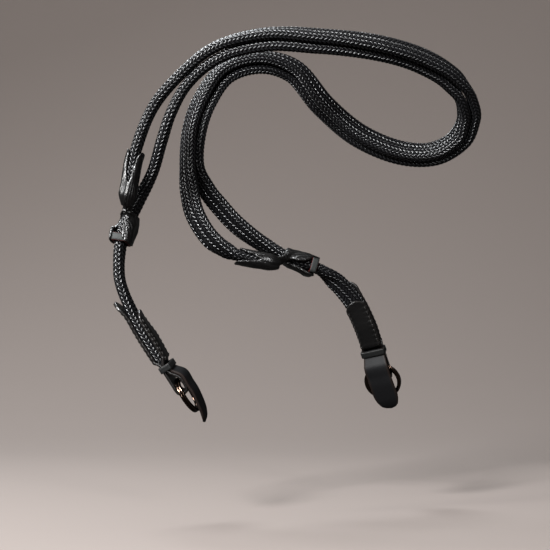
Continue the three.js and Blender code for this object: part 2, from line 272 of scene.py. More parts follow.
# %% Braided ropes
COLUMNS = 14
POINTS_PER_COLUMN = 4
FLOAT_PITCH = 2.4 * MM
ROWS_PER_FLOAT = 6
FLOAT_SLANT = 2.4 * MM
FLOAT_HEIGHT = 0.62 * MM
FREE_SINK = 0.32 * MM
HELD_SINK = 0.42 * MM
HELD_EASE = 4 * MM
FLOAT_DOME = (0.15, 0.92, 1, 0.92)
FLOAT_STEEPNESS = 1.2
PAINTED_SHADE_DEPTH = 0.55
HIDDEN_END = 3.4 * MM
HIDDEN_THIN = 0.1
ROUTE_POINTS = 240


def rope_outline(count):
    """Points and outward directions round the rope's flat section, from the middle of its front edge."""
    edge = ROPE_THICKNESS / 2
    flat = ROPE_WIDTH / 2 - edge
    around = 4 * flat + 2 * math.pi * edge
    outline = []
    for step in range(count):
        s = around * step / count
        quarter = math.pi * edge / 2
        sign = 1
        if s > around / 2:
            s = around - s
            sign = -1
        if s < quarter:
            turn = s / edge
            p, q = edge * math.sin(turn), flat + edge * math.cos(turn)
            dp, dq = math.sin(turn), math.cos(turn)
        elif s < quarter + 2 * flat:
            p, q, dp, dq = edge, flat - (s - quarter), 1, 0
        else:
            turn = (s - quarter - 2 * flat) / edge
            p, q = edge * math.cos(turn), -flat - edge * math.sin(turn)
            dp, dq = math.cos(turn), -math.sin(turn)
        outline.append((sign * p, q, sign * dp, dq))
    return np.array(outline)


def braided_rope(name, rope, node, held):
    """The braid of one rope; held lists the stretches that leather presses, from one distance to another."""
    sides = COLUMNS * POINTS_PER_COLUMN
    outline = rope_outline(sides)
    rows = int(rope["length"] / FLOAT_PITCH * ROWS_PER_FLOAT)
    k = np.arange(sides)
    column = k // POINTS_PER_COLUMN
    across = (k % POINTS_PER_COLUMN) / POINTS_PER_COLUMN
    slant = np.where(column % 2 == 0, across, 1 - across) * FLOAT_SLANT
    dome = np.array(FLOAT_DOME)[k % POINTS_PER_COLUMN]
    vertices = []
    thread = []
    groove = []
    for row in range(rows + 1):
        start = -HIDDEN_END + (rope["length"] + 2 * HIDDEN_END) * row / rows
        d = np.clip(start + slant - FLOAT_SLANT / 2, -HIDDEN_END, rope["length"] + HIDDEN_END)
        origin, _, m, w = rope_frame(rope, d)
        phase = (row / ROWS_PER_FLOAT + 0.5 * (column % 2)) % 1
        swell = dome * np.sin(np.pi * phase) ** FLOAT_STEEPNESS
        pressed = max(min(1, 1 - max(a - start, start - b) / HELD_EASE) for a, b in held)
        sink = FREE_SINK + (HELD_SINK - FREE_SINK) * max(0, pressed)
        past = max(0, -start, start - rope["length"]) / HIDDEN_END
        thin = 1 - (1 - HIDDEN_THIN) * past
        height = (FLOAT_HEIGHT * swell - sink) * thin
        p = outline[:, 0] * thin + outline[:, 2] * height
        q = outline[:, 1] + outline[:, 3] * height
        vertices.append(origin + m * p[:, None] + w * q[:, None])
        thread.append(np.stack([(start + 0 * d) / FLOAT_PITCH, across], axis=1))
        groove.append(1 - swell)
    vertices = np.vstack(vertices)
    made = mesh_object(name, vertices, loft_faces(rows + 1, sides), node)
    groove = np.concatenate(groove)
    corners = np.zeros(len(made.data.loops), dtype=np.int32)
    made.data.loops.foreach_get("vertex_index", corners)
    quads = corners[: rows * sides * 4].reshape(-1, 4)
    # Faces deep in the gaps between floats take the second material, which is painted shade: darker and duller
    # in place of the shade that falls there.
    in_painted_shade = np.zeros(len(made.data.polygons), dtype=np.int32)
    in_painted_shade[: len(quads)] = groove[quads].mean(axis=1) > PAINTED_SHADE_DEPTH
    made.data.polygons.foreach_set("material_index", in_painted_shade)
    thread = np.vstack(thread)
    lay = made.data.uv_layers.new(name="thread")
    lay.data.foreach_set("uv", thread[corners].astype(np.float32).ravel())
    route = rope_frame(rope, np.linspace(0, rope["length"], ROUTE_POINTS))[0]
    print(name, len(made.data.polygons), "faces,", round(rope["length"] / MM), "mm long")
    return made


TAB_HOLD = 38 * MM
SLEEVE_1 = 25 * MM
SLEEVE_2 = 19 * MM
LOBE_1 = 18 * MM
LOBE_2 = 20 * MM
LOBE_1_AT = 69 * MM
LOBE_2_AT = right_rope["length"] - 59.5 * MM
left_stop = left_rope["length"]
right_stop = right_rope["length"]
left_held = [(0, TAB_HOLD), (LOBE_1_AT, LOBE_1_AT + LOBE_1), (left_stop - SLEEVE_2, left_stop)]
right_held = [(0, SLEEVE_1), (LOBE_2_AT - LOBE_2, LOBE_2_AT), (right_stop - TAB_HOLD, right_stop)]
rope_left = braided_rope("left_braided_rope", left_rope, "rope_left", left_held)
rope_right = braided_rope("right_braided_rope", right_rope, "rope_right", right_held)

# %% [markdown]
# The leather is vegetable-tanned cowhide, a strip about 1.6 mm thick with a satin top. It is bent, glued and
# stitched, so each piece is a strip swept along a bent line with rounded long edges. The line is the one that
# the solids use, smoothed, because real leather can't fold as sharply as their corners. A cloth simulation
# would also bend it, but the bends are few and known, so sweeping is quicker and always the same.

# %% Leather strips
CLEARANCE = 0.3 * MM
LEATHER = 1.6 * MM
TAB_WIDTH = 13 * MM
TAB_LONG_PLY = TAB_HOLD
TAB_SHORT_PLY = 29 * MM
TAB_TIP = 5 * MM
PLY_BULGE = 1 * MM
TONGUE_LIFT = 3 * MM
EYE_LENGTH = 24 * MM
EYE_SHIFT = -2 * MM
EYE_SLACK = 1 * MM
EYE_START = EYE_LENGTH * 0.6
KEEPER_WIDTH = 3.5 * MM
KEEPER_THICKNESS = 1.1 * MM
TAB_BAND = 0.8 * MM
KEEPER_DROP = 6 * MM
WAIST_GAP = 0.4 * MM
RING_OUTSIDE = 22 * MM
RING_WIRE = 2.2 * MM
RING_THICKNESS = 2.8 * MM
RING_DROP = 25.2 * MM
GUARD_WIDTH = 14.6 * MM
GUARD_LENGTH = 43 * MM
PLY = ROPE_THICKNESS / 2 + CLEARANCE + LEATHER / 2
WAIST = WAIST_GAP / 2 + LEATHER / 2
EYE_PLY = RING_THICKNESS / 2 + CLEARANCE + EYE_SLACK / 2 + LEATHER / 2
SNUG = 0.1 * MM
GUARD_STEP = LEATHER + SNUG
KEEPER_TOP = KEEPER_DROP - KEEPER_WIDTH / 2 - LEATHER / 2
KEEPER_FOOT = KEEPER_DROP + KEEPER_WIDTH / 2 + LEATHER / 2
ROPE_FLAT = (ROPE_WIDTH - ROPE_THICKNESS) / 2
EDGE_ROUND = 0.55 * MM
CURL_STEP = 1 * MM
SCALLOP = 0.28 * MM
GRAIN_DEPTH = 0.12 * MM
GRAIN_LONG = 6 * MM
GRAIN_WIDE = 5 * MM
STITCH_PITCH = 2.9 * MM
STITCH_INSET = 1.6 * MM
LINE_STEP = 0.5 * MM
LINE_SAMPLES = 60
LINE_PASSES = 30
FEWEST_STATIONS = 12
FACE_SPANS = 12
EDGE_TURNS = (30, 60, 90, 120, 150)
LEAST_CURL = 0.001
GRAIN_SHIFT = 7.3
TIP_FLOOR = 0.1
RIM_CURL = 1.15
RIM_DIP = 0.2 * MM


def left_end(outward):
    origin, tangent, m, w = rope_frame(left_rope, -np.atleast_1d(outward))
    return origin, -tangent, m, w


def right_end(outward):
    return rope_frame(right_rope, right_rope["length"] + np.atleast_1d(outward))


def smooth_line(rows):
    """Rows of outward, p, half width and curl, smoothed and sampled evenly along the bent line."""
    rows = np.array(rows, float)
    fine = curve_points(rows, np.linspace(0, 1, LINE_SAMPLES * len(rows)))
    for _ in range(LINE_PASSES):
        fine[1:-1] = fine[1:-1] / 2 + (fine[:-2] + fine[2:]) / 4
    travelled = np.concatenate([[0], np.cumsum(np.linalg.norm(np.diff(fine[:, :2], axis=0), axis=1))])
    even = np.linspace(0, travelled[-1], max(FEWEST_STATIONS, int(travelled[-1] / LINE_STEP)))
    line = np.stack([np.interp(even, travelled, fine[:, k]) for k in range(fine.shape[1])], axis=1)
    return line, even


def strip_section(half_width):
    """Section of a strip as (offset, across, edge): its two faces and two rounded edges."""
    half = LEATHER / 2
    points = []
    for side in (1, -1):
        for share in np.linspace(-1, 1, FACE_SPANS + 1):
            points.append((side * half, side * share * (half_width - EDGE_ROUND), abs(share) > 0.999))
        for turn in EDGE_TURNS:
            angle = math.radians(turn)
            reach = half_width - EDGE_ROUND + EDGE_ROUND * math.sin(angle)
            points.append((side * half * math.cos(angle), side * reach, True))
    return points


def curled(offset, across, curl):
    """Bends a strip's section round the rope's edges: gives offset, across and the turn there."""
    beyond = np.maximum(np.abs(across) - ROPE_FLAT, 0)
    radius = PLY / np.maximum(curl, LEAST_CURL)
    turn = beyond / radius
    bent_offset = (radius + offset) * np.cos(turn) - radius
    bent_across = np.minimum(np.abs(across), ROPE_FLAT) + (radius + offset) * np.sin(turn)
    return bent_offset, np.sign(across) * bent_across, turn


def leather_strip(name, end, rows, node, tips, seed):
    """Sweeps a strip along rows of outward, p, half width and curl; tips are how far each end is rounded."""
    line, travelled = smooth_line([(o, p, half, curl * CURL_STEP) for o, p, half, curl in rows])
    curls = np.maximum(line[:, 3] / CURL_STEP, 0)
    widths = line[:, 2].copy()
    for tip, gone in zip(tips, (travelled, travelled[-1] - travelled)):
        if tip:
            share = np.clip(1 - gone / tip, 0, 1)
            widths = widths * np.sqrt(np.maximum(1 - share**2, TIP_FLOOR))
    heading = unit(np.gradient(line[:, :2], axis=0))
    vertices = []
    edges = []
    for station, (outward, p, _, _) in enumerate(line):
        section = np.array(strip_section(widths[station]))
        offset, across, is_edge = section[:, 0], section[:, 1], section[:, 2]
        spots = [Vector((travelled[station] / GRAIN_LONG, q / GRAIN_WIDE, seed * GRAIN_SHIFT)) for q in across]
        wobble = np.array([noise.noise(spot) for spot in spots]) * GRAIN_DEPTH * (1 - is_edge / 2)
        offset = offset + np.where(offset > 0, wobble, -wobble)
        pull = 0.5 + 0.5 * np.cos(2 * np.pi * travelled[station] / STITCH_PITCH)
        outer = np.clip((np.abs(across) - ROPE_FLAT) / STITCH_INSET, 0, 1)
        offset = offset - SCALLOP * pull * outer * min(curls[station], 1)
        offset, across, _ = curled(offset, across, curls[station])
        o_step, p_step = heading[station]
        vertices.append(np.stack([outward - p_step * offset, p + o_step * offset, across], axis=1))
        edges.append(is_edge)
    vertices = np.vstack(vertices)
    origin, _, m, w = end(vertices[:, 0])
    placed = origin + m * vertices[:, 1:2] + w * vertices[:, 2:3]
    made = mesh_object(name, placed, loft_faces(len(line), len(section)), node)
    set_attribute(made, "cut_edge", np.concatenate(edges))
    return made, line, travelled, widths, curls


def eye_side():
    return [
        (KEEPER_TOP, -WAIST),
        (KEEPER_FOOT, -WAIST),
        (EYE_START, EYE_SHIFT - EYE_PLY),
        (EYE_LENGTH - EYE_PLY - LEATHER / 2, EYE_SHIFT - EYE_PLY),
    ]


def tab_rows():
    """Rows of outward, p, half width and curl; the plies curl round the rope and lie flat from the keeper on."""
    rows = [
        (-TAB_LONG_PLY, PLY + TONGUE_LIFT, 0),
        (TAB_TIP - TAB_LONG_PLY, PLY + TONGUE_LIFT / 3, 0.2),
        (2 * TAB_TIP - TAB_LONG_PLY, PLY, 0.8),
    ]
    rows += [(-TAB_LONG_PLY * share, PLY, 1) for share in (0.5, 0.25)]
    rows += [(-LEATHER, PLY, RIM_CURL), (LEATHER / 2, PLY - RIM_DIP, 0.9)]
    rows += [(KEEPER_TOP, WAIST, 0), (KEEPER_FOOT, WAIST, 0)]
    rows.append((EYE_START, EYE_SHIFT + EYE_PLY, 0))
    fold = EYE_LENGTH - LEATHER / 2 - EYE_PLY
    for degrees in range(0, 180, 30):
        angle = math.radians(degrees)
        rows.append((fold + EYE_PLY * math.sin(angle), EYE_SHIFT + EYE_PLY * math.cos(angle), 0))
    rows += [(outward, p, 0) for outward, p in reversed(eye_side())]
    rows += [(LEATHER / 2, RIM_DIP - PLY, 0.9), (-LEATHER, -PLY, RIM_CURL)]
    for share, bulge in ((0.2, 0.3), (0.4, 0.6), (0.6, 0.3)):
        rows.append((-TAB_SHORT_PLY * share, -PLY - PLY_BULGE * bulge, 1))
    rows += [(TAB_TIP - TAB_SHORT_PLY, -PLY, 0.8), (-TAB_SHORT_PLY, -PLY, 0.5)]
    return [(outward, p, TAB_WIDTH / 2, curl) for outward, p, curl in rows]


# %% [markdown]
# Thread holds each ply to the rope. A stitch is a short capsule that lies half sunk in the leather, and a row of
# them runs a little inside each long edge. All capsules have one shape and are made together as one mesh.

# %% Stitches
STITCH_LENGTH = 1.9 * MM
STITCH_RADIUS = 0.24 * MM
STITCH_RAISE = 0.1
STITCH_SIDES = 8
STITCH_PROFILE = [(-1, 0.35), (-0.82, 0.8), (-0.4, 1), (0.4, 1), (0.82, 0.8), (1, 0.35)]
FIRST_STITCH = 1.5
BARE_END = 4 * MM


def stitches(name, places, headings, ups):
    """One mesh of capsules at the places, each lying along its heading with its back up."""
    vertices = []
    quads = []
    for place, heading, up in zip(places, headings, ups):
        across = np.cross(heading, up)
        first = len(vertices)
        for share, wide in STITCH_PROFILE:
            for k in range(STITCH_SIDES):
                turn = 2 * math.pi * k / STITCH_SIDES
                ring = across * math.cos(turn) + up * math.sin(turn)
                vertices.append(place + heading * share * STITCH_LENGTH / 2 + ring * wide * STITCH_RADIUS)
        quads += loft_faces(len(STITCH_PROFILE), STITCH_SIDES, first=first)
    return mesh_object(name, vertices, quads)


def stitch_rows(end, line, travelled, widths, curls, start, stop):
    """Places for stitches on a strip's outer face, inside both long edges, between two distances."""
    heading = unit(np.gradient(line[:, :2], axis=0))
    places, headings, ups = [], [], []
    for edge in (1, -1):
        for at in np.arange(start, stop, STITCH_PITCH):
            station = int(np.interp(at, travelled, np.arange(len(line))))
            outward, p = line[station][:2]
            o_step, p_step = heading[station]
            across = edge * (widths[station] - STITCH_INSET)
            offset, across, turn = curled(LEATHER / 2 + STITCH_RADIUS * STITCH_RAISE, across, curls[station])
            origin, out, m, w = (part[0] for part in end([outward - p_step * offset]))
            places.append(origin + m * (p + o_step * offset) + w * across)
            headings.append(unit(out * o_step + m * p_step))
            away = m * o_step - out * p_step
            ups.append(away * math.cos(turn) + w * edge * math.sin(turn))
    return places, headings, ups


# %% [markdown]
# Each end tab is one strip. It starts as a tongue on the rope, closes to a waist under the keeper, turns round
# the split ring and comes back up the other side. The stitches stop short of the keeper.

# %% End tabs, guards and keepers
GUARD_ROUND = 4 * MM
GUARD_SEED = 4
BAND_TURNS = (0, 22.5, 45, 67.5, 90)
BAND_SECTION = [
    (-1, 0), (0, 0), (1, 0), (1, 0.8), (0.85, 1),
    (0.4, 1), (0, 1), (-0.4, 1), (-0.85, 1), (-1, 0.8),
]


def shift_rows(rows, distance):
    """The rows of a bent line, all moved sideways by one distance."""
    line = np.array(rows)
    steps = unit(np.diff(line, axis=0))
    before = np.vstack([steps[:1], steps])
    after = np.vstack([steps, steps[-1:]])
    along = unit(before + after)
    reach = distance / np.maximum(np.sum(along * before, axis=1), 0.5)
    return line + np.stack([-along[:, 1], along[:, 0]], axis=1) * reach[:, None]


def guard_rows():
    past_ring = EYE_SHIFT - RING_THICKNESS / 2 - CLEARANCE - LEATHER / 2
    ring_end = RING_DROP + RING_OUTSIDE / 2
    beyond = EYE_SHIFT - EYE_PLY - GUARD_STEP
    rows = shift_rows(eye_side(), -GUARD_STEP)
    rows[0][0] = KEEPER_DROP - KEEPER_WIDTH / 2
    half = GUARD_WIDTH / 2
    wide = [TAB_WIDTH / 2, TAB_WIDTH / 2, half, half]
    rows = [(outward, p, w) for (outward, p), w in zip(rows, wide)]
    rows.append((EYE_LENGTH + LEATHER, beyond, half))
    rows.append((ring_end - RING_OUTSIDE / 8, past_ring - 1 * MM, half))
    rows.append((ring_end + LEATHER, past_ring, half * 0.86))
    rows.append((GUARD_LENGTH - LEATHER, past_ring + LEATHER, half * 0.62))
    rows.append((GUARD_LENGTH, past_ring + 2 * LEATHER, half * 0.34))
    return [(*row, 0) for row in rows]


def band_mesh(name, frames, middle, low, high, half_width, node, thickness):
    """A flat band round a rectangle with round corners, its own edges softly rounded."""
    corner = CLEARANCE
    path = []
    for side_p, side_q, start in ((1, 1, 0), (-1, 1, 90), (-1, -1, 180), (1, -1, 270)):
        for step in BAND_TURNS:
            turn = math.radians(start + step)
            centre_p = (low + high) / 2 + side_p * ((high - low) / 2 - corner)
            path.append((centre_p, side_q * (half_width - corner), math.cos(turn), math.sin(turn)))
    half = KEEPER_WIDTH / 2
    section = []
    for along, out in BAND_SECTION:
        section.append((along * half, out * thickness, abs(along) == 1))
    vertices = []
    edges = []
    for centre_p, centre_q, dp, dq in path:
        for along, out, is_edge in section:
            origin, _, m, w = (part[0] for part in frames([middle + along]))
            radius = corner + out
            vertices.append(origin + m * (centre_p + radius * dp) + w * (centre_q + radius * dq))
            edges.append(float(is_edge))
    quads = loft_faces(len(path), len(section), is_loop=True)
    made = mesh_object(name, vertices, quads, node)
    set_attribute(made, "cut_edge", edges)
    return made


pieces = {}
for seed, (side, end) in enumerate((("left", left_end), ("right", right_end))):
    round_tips = (TAB_TIP * 1.2, TAB_TIP * 1.2)
    tab, *sweep = leather_strip(f"{side}_end_tab", end, tab_rows(), f"{side}_tab", round_tips, seed)
    total = sweep[1][-1]
    rows_long = stitch_rows(end, *sweep, FIRST_STITCH * STITCH_PITCH, TAB_LONG_PLY)
    short_start = (total - TAB_SHORT_PLY) // STITCH_PITCH + 0.5
    rows_short = stitch_rows(end, *sweep, short_start * STITCH_PITCH, total - BARE_END)
    sewing = [a + b for a, b in zip(rows_long, rows_short)]
    pieces[f"{side}_tab"] = tab
    pieces[f"{side}_thread"] = stitches(f"{side}_tab_stitches", *sewing)
    guard, *_ = leather_strip(
        f"{side}_ring_guard", end, guard_rows(), f"{side}_guard", (0, GUARD_ROUND), seed + GUARD_SEED
    )
    pieces[f"{side}_guard"] = guard
    inside = WAIST + LEATHER / 2 + SNUG
    pieces[f"{side}_keeper"] = band_mesh(
        f"{side}_keeper_band",
        end,
        KEEPER_DROP,
        -inside - GUARD_STEP,
        inside,
        TAB_WIDTH / 2 + SNUG,
        f"{side}_keeper",
        TAB_BAND,
    )
print("end pieces", len(pieces))

# %% [markdown]
# A split ring is two turns of flat steel wire, like a key ring. The wire steps from one level to the other near
# its two ends, which is what lets it be opened. It is swept as one spiral with blunt ends.

# %% Split rings
TURN_GAP = 0.08 * MM
WIRE_ROUND = 0.35 * MM
COIL_STEPS = 150
COIL_TURN = 4 * math.pi - 0.16
COIL_START = math.radians(200)
LEVEL_STEEPNESS = 5


def split_ring(name, end, node):
    origin, out, m, w = (part[0] for part in end(np.array([RING_DROP])))
    middle = origin + m * EYE_SHIFT
    wire = RING_THICKNESS / 2 - TURN_GAP
    radius = (RING_OUTSIDE - RING_WIRE) / 2
    flat_r = RING_WIRE / 2 - WIRE_ROUND
    flat_m = wire / 2 - WIRE_ROUND
    section = []
    for r_sign, m_sign, start in ((1, 1, 0), (-1, 1, 90), (-1, -1, 180), (1, -1, 270)):
        for step in (0, 45, 90):
            turn = math.radians(start + step)
            r = r_sign * flat_r + WIRE_ROUND * math.cos(turn)
            section.append((r, m_sign * flat_m + WIRE_ROUND * math.sin(turn)))
    vertices = []
    for step in range(COIL_STEPS + 1):
        turned = COIL_TURN * step / COIL_STEPS
        rise = 1 / (1 + math.exp(-(turned - 2 * math.pi) * LEVEL_STEEPNESS)) - 0.5
        level = rise * (RING_THICKNESS - wire)
        angle = COIL_START + turned
        spoke = out * math.cos(angle) + w * math.sin(angle)
        for r, p in section:
            vertices.append(middle + m * (level + p) + spoke * (radius + r))
    return mesh_object(name, vertices, loft_faces(COIL_STEPS + 1, len(section)), node)


for side, end in (("left", left_end), ("right", right_end)):
    pieces[f"{side}_ring"] = split_ring(f"{side}_split_ring", end, f"{side}_ring")

# %% [markdown]
# A slider is one piece of leather with two pockets. The sleeve is wrapped and glued over the end of one rope,
# gathered into a narrow neck, and opens again into a lobe that wraps the other rope. Leather that is pulled
# together like this has soft folds and no sharp corners. So its parts are lofted roughly first, fused with a
# voxel remesh and relaxed. Last come folds that run lengthwise through the neck: noise of the direction round
# the slider's long axis, which changes slowly along it, draws lines like the gathers of a drawn pouch.

# %% Sliders
SLEEVE_NOSE = 5 * MM
BAND_INSET = 2 * MM
BAND_SLACK = 0.3 * MM
LOBE_PLY = ROPE_THICKNESS / 2 + BAND_SLACK + KEEPER_THICKNESS + 2 * CLEARANCE + LEATHER / 2
LOBE_BEND = LOBE_PLY - 0.5 * MM
SECTION_POINTS = 23
STATION_STEP = 1.2 * MM
RIM_REACH = 0.8 * MM
FOLD_FAR = 0.5 * MM
FOLD_NEAR = 0.6 * MM
FOLD_REACH = 15 * MM
SKIVING = 0.45
SKIVED_LENGTH = 7 * MM
FOLD_SETS = ((3.6, 0.7), (8.5, 0.3))
FOLD_DRIFT = 20 * MM
FOLD_SHIFT = 4.7
FOLD_LEVEL = 0.55
FUSE_VOXEL = 0.36 * MM
RELAX_FACTOR = 0.6
RELAX_PASSES = 7
NECK_RINGS = 9
NECK_SIDES = 16


def ply_section(offset, front, back, curl, bend, thickness):
    """Outer and inner line of a ply over a rope's flat face; front and back are its reach past the flat."""
    s = np.linspace(-back - ROPE_FLAT, front + ROPE_FLAT, SECTION_POINTS)
    beyond = np.maximum(np.abs(s) - ROPE_FLAT, 0)
    radius = bend / max(curl, 0.02)
    turn = np.minimum(beyond / radius, math.pi / 2)
    run = beyond - turn * radius
    p = offset - (1 - np.cos(turn)) * radius - run
    q = np.sign(s) * (np.minimum(np.abs(s), ROPE_FLAT) + radius * np.sin(turn))
    line = np.stack([p, q], axis=1)
    step = unit(np.gradient(line, axis=0))
    normal = np.stack([step[:, 1], -step[:, 0]], axis=1)
    half = normal * thickness / 2
    return np.vstack([line + half, (line - half)[::-1]])


def ply_rings(frames, rows, side, bend):
    """Rings of a ply; each row is its distance, offset, front, back, curl (in mm) and squeeze."""
    rows = np.array(rows, float)
    span = rows[-1, 0] - rows[0, 0]
    rings = []
    for at in np.linspace(rows[0, 0], rows[-1, 0], max(3, round(span * MM / STATION_STEP))):
        offset, front, back, curl, squeeze = (np.interp(at, rows[:, 0], rows[:, k]) for k in range(1, 6))
        skived = 1 - SKIVING * max(0, 1 - (at - rows[0, 0]) * MM / SKIVED_LENGTH)
        section = ply_section(offset * MM, front * MM, back * MM, curl, bend, LEATHER * skived) * squeeze
        origin, _, m, w = (part[0] for part in frames([at * MM]))
        rings.append(origin + m * section[:, :1] * side + w * section[:, 1:])
    return rings


def fuse(name, parts, node):
    """Joins closed lofts into one body by a voxel remesh, and relaxes it."""
    vertices = []
    quads = []
    for rings in parts:
        quads += loft_faces(len(rings), len(rings[0]), first=len(vertices))
        vertices += [point for ring in rings for point in ring]
    made = mesh_object(name, vertices, quads, node)
    remesh = made.modifiers.new("fuse", "REMESH")
    remesh.mode = "VOXEL"
    remesh.voxel_size = FUSE_VOXEL
    relax = made.modifiers.new("relax", "SMOOTH")
    relax.factor = RELAX_FACTOR
    relax.iterations = RELAX_PASSES
    graph = bpy.context.evaluated_depsgraph_get()
    whole = bpy.data.meshes.new_from_object(made.evaluated_get(graph))
    made.modifiers.clear()
    old = made.data
    made.data = whole
    bpy.data.meshes.remove(old)
    whole.name = name
    whole.polygons.foreach_set("use_smooth", [True] * len(whole.polygons))
    return made


def gather(made, neck, axis, seed):
    """Folds that run lengthwise through the neck: deep beside it and shallow at the far ends."""
    mesh = made.data
    places = np.zeros(len(mesh.vertices) * 3, np.float32)
    normals = np.zeros(len(mesh.vertices) * 3, np.float32)
    mesh.vertices.foreach_get("co", places)
    mesh.vertices.foreach_get("normal", normals)
    places = places.reshape(-1, 3).astype(float)
    away = places - np.array(neck)
    distance = np.linalg.norm(away, axis=1)
    along = away @ axis
    aside = away - along[:, None] * axis
    heading = aside / np.maximum(np.linalg.norm(aside, axis=1), 1e-5)[:, None]
    fold = np.zeros(len(places))
    for lines, share in FOLD_SETS:
        spots = heading * lines + (along / FOLD_DRIFT + seed * FOLD_SHIFT)[:, None]
        ridge = np.array([1 - 2 * abs(noise.noise(Vector(spot))) for spot in spots])
        fold += share * (ridge - FOLD_LEVEL)
    depth = FOLD_FAR + FOLD_NEAR * np.exp(-((distance / FOLD_REACH) ** 2))
    places += normals.reshape(-1, 3) * (fold * depth)[:, None]
    mesh.vertices.foreach_set("co", places.astype(np.float32).ravel())
    mesh.update()
    return places


def slider(number, end, host, sleeve_rows, lobe_rows, neck_sizes):
    """A slider over a rope's end and round the host rope; each kind of rows has one list for a side.

    The neck's sizes are half width and half depth at the sleeve, the same at the lobe, and its shift there.
    """
    sleeves = [ply_rings(end, rows, side, PLY) for side, rows in sleeve_rows.items()]
    lobes = [ply_rings(host, rows, side, LOBE_BEND) for side, rows in lobe_rows.items()]
    lobe = lobe_rows[1][-1][0] * MM
    start, _, m, w = (part[0] for part in end([SLEEVE_NOSE * 0.5]))
    origin, _, m_host, w_host = (part[0] for part in host([lobe * 0.8]))
    wide_start, deep_start, wide_finish, deep_finish, shift = (size * MM for size in neck_sizes)
    finish = origin + w_host * (ROPE_WIDTH / 2 + CLEARANCE + LEATHER / 2) + m_host * shift
    neck = []
    for share in np.linspace(0, 1, NECK_RINGS):
        place = start * (1 - share) + finish * share
        wide = wide_start * (1 - share) + wide_finish * share
        deep = deep_start * (1 - share) + deep_finish * share
        across = unit(m * (1 - share) + m_host * share) * wide
        thick = unit(w * (1 - share) + w_host * share) * deep
        turns = 2 * np.pi * np.arange(NECK_SIDES) / NECK_SIDES
        neck.append([place + across * math.cos(turn) + thick * math.sin(turn) for turn in turns])
    made = fuse(f"slider_{number}_leather", [*sleeves, *lobes, neck], f"slider_{number}")
    mouth = end([sleeve_rows[1][0][0] * MM])[0][0]
    places = gather(made, (start * 2 + finish) / 3, unit(host([0])[0][0] - mouth), number)
    rim = []
    for rings in sleeves:
        rim += [*rings[0]]
        rim += [ring[k] for ring in rings[: len(rings) // 2] for k in (0, SECTION_POINTS - 1)]
    for rings in lobes:
        rim += [*rings[0]]
        rim += [ring[k] for ring in rings[: len(rings) * 2 // 3] for k in (0, SECTION_POINTS - 1)]
    tree = kdtree.KDTree(len(rim))
    for k, place in enumerate(rim):
        tree.insert(Vector(place), k)
    tree.balance()
    set_attribute(made, "cut_edge", [max(0, 1 - tree.find(Vector(place))[2] / RIM_REACH) for place in places])
    print(made.name, len(made.data.polygons), "faces")
    return made


def slider_1_end(outward):
    origin, tangent, m, w = rope_frame(right_rope, -np.atleast_1d(outward))
    return origin, -tangent, m, w


def slider_1_host(outward):
    return rope_frame(left_rope, LOBE_1_AT + np.atleast_1d(outward))


def slider_2_end(outward):
    return rope_frame(left_rope, left_rope["length"] + np.atleast_1d(outward))


def slider_2_host(outward):
    return rope_frame(right_rope, LOBE_2_AT - np.atleast_1d(outward))


# Rows are distance, offset, front, back, curl and squeeze, in mm; side 1 is left or upper, side -1 the other.
SLEEVE_1_ROWS = {
    1: [(-25, 3.6, 1.2, 0.8, 0.6, 1), (-24, 3.6, 2.6, 2, 0.8, 1), (-22, 3.65, 3.3, 3, 1, 1),
        (-16, 3.7, 3.5, 3.4, 1, 1), (-11, 3.65, 4.2, 4.2, 1, 1), (-7, 3.6, 5.6, 5.6, 1, 1)],
    -1: [(-25, 4.5, 1.6, 0.8, 0.3, 1), (-24, 4.5, 3.2, 2, 0.7, 1), (-21.5, 4.2, 4, 3, 1, 1),
         (-16, 3.8, 4.4, 3.6, 1, 1), (-11, 3.7, 4.8, 4.4, 1, 1), (-7, 3.6, 5.6, 5.6, 1, 1)],
}
LOBE_1_ROWS = {
    1: [(0, 5.3, 2, 1.5, 0.1, 1), (1.5, 5.5, 3.2, 3, 0.1, 1), (6, 5.4, 3.2, 3.4, 0.15, 1),
        (8, 4.8, 0.5, 4, 0.5, 1), (9.5, 4, -2, 4, 0.8, 1), (13, 3.9, -2.5, 5, 1, 1),
        (15, 3.9, 1, 6, 1, 0.95), (18, 4, 5.5, 6.5, 1, 0.85)],
    -1: [(0, 5.5, 5, 2, 0.7, 1), (1.5, 5.6, 6.8, 3, 1, 1), (5, 5.6, 7.4, 4, 1, 1),
         (10, 5.5, 7.4, 5, 1, 1), (14, 5.2, 7.6, 6, 1, 0.96), (18, 4.4, 8, 6.5, 1, 0.85)],
}
SLEEVE_2_ROWS = {
    1: [(-19, 3.7, 1, 1, 0.5, 1), (-18, 3.7, 2.4, 2.4, 0.8, 1), (-15, 3.7, 3.2, 3.2, 1, 1),
        (-11, 3.8, 3.8, 4.2, 1, 1), (-8, 3.8, 5, 5, 1, 1), (-6, 3.8, 5.9, 5.9, 1, 1)],
    -1: [(-19, 4.5, 1.4, 1, 0.3, 1), (-18, 4.4, 2.8, 2.4, 0.8, 1), (-15, 4.1, 3.6, 3.2, 1, 1),
         (-11, 3.9, 4.4, 4.2, 1, 1), (-8, 3.9, 5.4, 5, 1, 1), (-6, 3.8, 5.9, 5.9, 1, 1)],
}
LOBE_2_ROWS = {
    1: [(0, 5.2, 1.6, 1.5, 0.5, 1), (3.4, 5.4, 3, 3, 0.7, 1), (5, 5.5, 6, 3.4, 1, 1),
        (8, 5.5, 7.8, 4, 1, 1), (13, 5.3, 8.6, 5, 1, 1), (17, 4.8, 8.6, 6, 1, 0.95),
        (20, 4.4, 8.4, 6.5, 1, 0.85)],
    -1: [(0, 5.2, 1, 1.5, 0.1, 1), (2, 5.5, 3, 3, 0.1, 1), (5, 5.3, 3.2, 3.4, 0.2, 1),
         (8, 4.4, 3.2, 3.4, 0.5, 1), (12, 3.9, 3.2, 4, 0.8, 1), (16, 3.9, 3, 5, 1, 1),
         (20, 3.9, 3, 6.5, 1, 0.85)],
}
